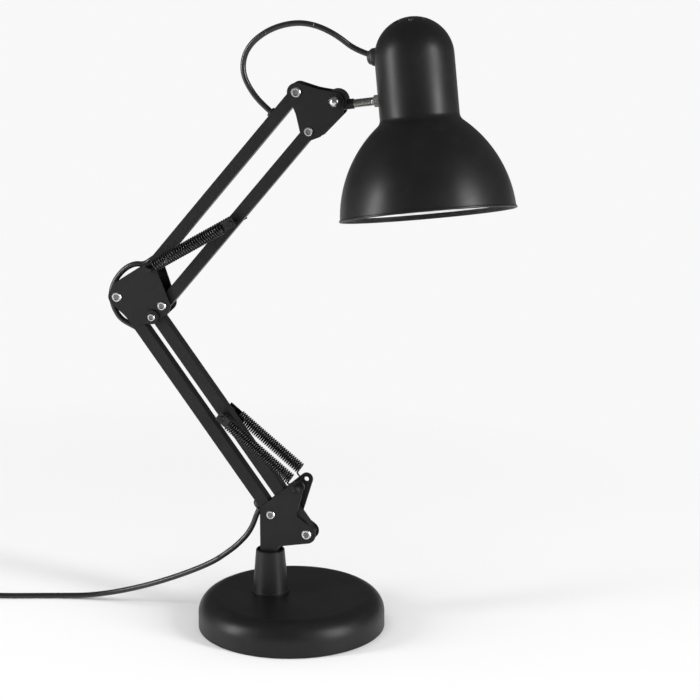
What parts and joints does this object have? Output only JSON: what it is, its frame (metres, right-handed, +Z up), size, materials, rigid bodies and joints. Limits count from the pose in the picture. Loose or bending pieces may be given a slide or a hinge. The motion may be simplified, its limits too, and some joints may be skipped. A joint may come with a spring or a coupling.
{
  "type": "desk lamp",
  "caption": "Desk lamp with a round weighted base, two spring-balanced parallelogram arms of square tube and a bell shade on a tilting, rolling stem.",
  "frame": {"origin": "centre of the base's underside, on the table", "axes": "+Z up, +X along the arms towards the shade, -Y the pictured front"},
  "size_m": [0.7461, 0.2482, 0.617],
  "materials": {
    "black_enamel": "satin black powder coat",
    "shade_enamel": "satin black outside, white inside",
    "cast_iron": "plain",
    "felt": "black felt",
    "nickel": "bright nickel plate",
    "cable_black": "glossy black vinyl",
    "plug_black": "satin black vinyl",
    "rubber_black": "soft black rubber",
    "holder_white": "off-white",
    "bulb_glass": "frosted"
  },
  "bodies": {
    "base": {"base_cover": "black_enamel", "base_weight": "cast_iron", "base_pad": "felt", "base_collar": "black_enamel", "collar_bolt": "nickel", "mains_cord": "cable_black", "cord_coil": "cable_black", "cord_tail": "cable_black", "mains_plug": "plug_black"},
    "foot_bracket": {"swivel_spigot": "black_enamel", "foot_plate_front": "black_enamel", "foot_plate_rear": "black_enamel", "foot_rivet_a": "nickel", "foot_rivet_b": "nickel", "spring_stud_front": "black_enamel", "spring_stud_rear": "black_enamel"},
    "bar_a": {"lower_bar_a": "black_enamel", "foot_grommet": "rubber_black", "cable_lower": "cable_black"},
    "bar_b": {"lower_bar_b": "black_enamel", "lower_spring_pin": "black_enamel", "lower_tab_front": "black_enamel", "lower_tab_rear": "black_enamel", "lower_spring_front": "black_enamel", "lower_spring_rear": "black_enamel"},
    "elbow": {"elbow_plate_front": "black_enamel", "elbow_plate_rear": "black_enamel", "elbow_rivet_a": "nickel", "elbow_rivet_b": "nickel", "elbow_rivet_d": "nickel", "elbow_boss": "black_enamel", "elbow_bolt_c": "black_enamel", "cable_elbow_low": "cable_black"},
    "bar_c": {"upper_bar_c": "black_enamel", "arm_grommet": "rubber_black", "cable_elbow_high": "cable_black", "cable_upper": "cable_black"},
    "bar_d": {"upper_bar_d": "black_enamel", "upper_spring_pin": "black_enamel", "upper_tab_front": "black_enamel", "upper_tab_rear": "black_enamel", "upper_spring_front": "black_enamel", "upper_spring_rear": "black_enamel"},
    "head_bracket": {"head_plate_front": "black_enamel", "head_plate_rear": "black_enamel", "head_rivet_c": "nickel", "head_rivet_d": "nickel", "tilt_bolt": "nickel", "tilt_washer": "black_enamel", "dome_nut": "nickel", "cable_loop_mid": "cable_black"},
    "knuckle": {"tilt_knuckle": "black_enamel"},
    "head": {"shade_stem": "nickel", "stem_nut": "nickel", "shade_shell": "shade_enamel", "shade_inlet": "rubber_black", "holder_strap": "nickel", "lampholder": "holder_white", "bulb": "bulb_glass", "cable_loop_end": "cable_black"}
  },
  "joints": [
    {"name": "swivel", "type": "hinge", "parent": "base", "child": "foot_bracket", "pos_m": [-0.0218, 0, 0.06], "axis": [0, 0, 1], "range_deg": [-120, 120], "deforming": ["mains_cord"]},
    {"name": "lower_lift", "type": "hinge", "parent": "foot_bracket", "child": "bar_a", "pos_m": [-0.0188, 0, 0.1174], "axis": [0, 1, 0], "range_deg": [-11, 60], "deforming": ["cable_lower"]},
    {"name": "lower_follow", "type": "hinge", "parent": "foot_bracket", "child": "bar_b", "pos_m": [0.0182, 0, 0.0996], "axis": [0, 1, 0], "range_deg": [-11, 60], "deforming": ["lower_spring_front", "lower_spring_rear", "lower_tab_front", "lower_tab_rear"]},
    {"name": "elbow_level", "type": "hinge", "parent": "bar_a", "child": "elbow", "pos_m": [-0.17538, 0, 0.33243], "axis": [0, 1, 0], "range_deg": [-60, 11], "deforming": ["cable_elbow_low"]},
    {"name": "upper_lift", "type": "hinge", "parent": "elbow", "child": "bar_c", "pos_m": [-0.14068, 0, 0.36353], "axis": [0, 1, 0], "range_deg": [-25, 60], "deforming": ["cable_elbow_high"]},
    {"name": "upper_follow", "type": "hinge", "parent": "elbow", "child": "bar_d", "pos_m": [-0.12838, 0, 0.32623], "axis": [0, 1, 0], "range_deg": [-25, 60], "deforming": ["upper_spring_front", "upper_spring_rear", "upper_tab_front", "upper_tab_rear"]},
    {"name": "head_level", "type": "hinge", "parent": "bar_c", "child": "head_bracket", "pos_m": [0.01003, 0, 0.54333], "axis": [0, 1, 0], "range_deg": [-60, 25], "deforming": ["cable_upper"]},
    {"name": "shade_tilt", "type": "hinge", "parent": "head_bracket", "child": "knuckle", "pos_m": [0.04843, 0, 0.53593], "axis": [0, 1, 0], "range_deg": [-70, 20], "deforming": ["cable_loop_mid"]},
    {"name": "shade_roll", "type": "hinge", "parent": "knuckle", "child": "head", "pos_m": [0.12726, 0, 0.54298], "axis": [0.9889, 0, 0.1487], "range_deg": [-90, 90], "deforming": ["cable_loop_end"]}
  ],
  "couplings": [
    {"joint": "lower_follow", "follows": "lower_lift", "ratio": 1},
    {"joint": "elbow_level", "follows": "lower_lift", "ratio": -1},
    {"joint": "upper_follow", "follows": "upper_lift", "ratio": 1},
    {"joint": "head_level", "follows": "upper_lift", "ratio": -1}
  ]
}
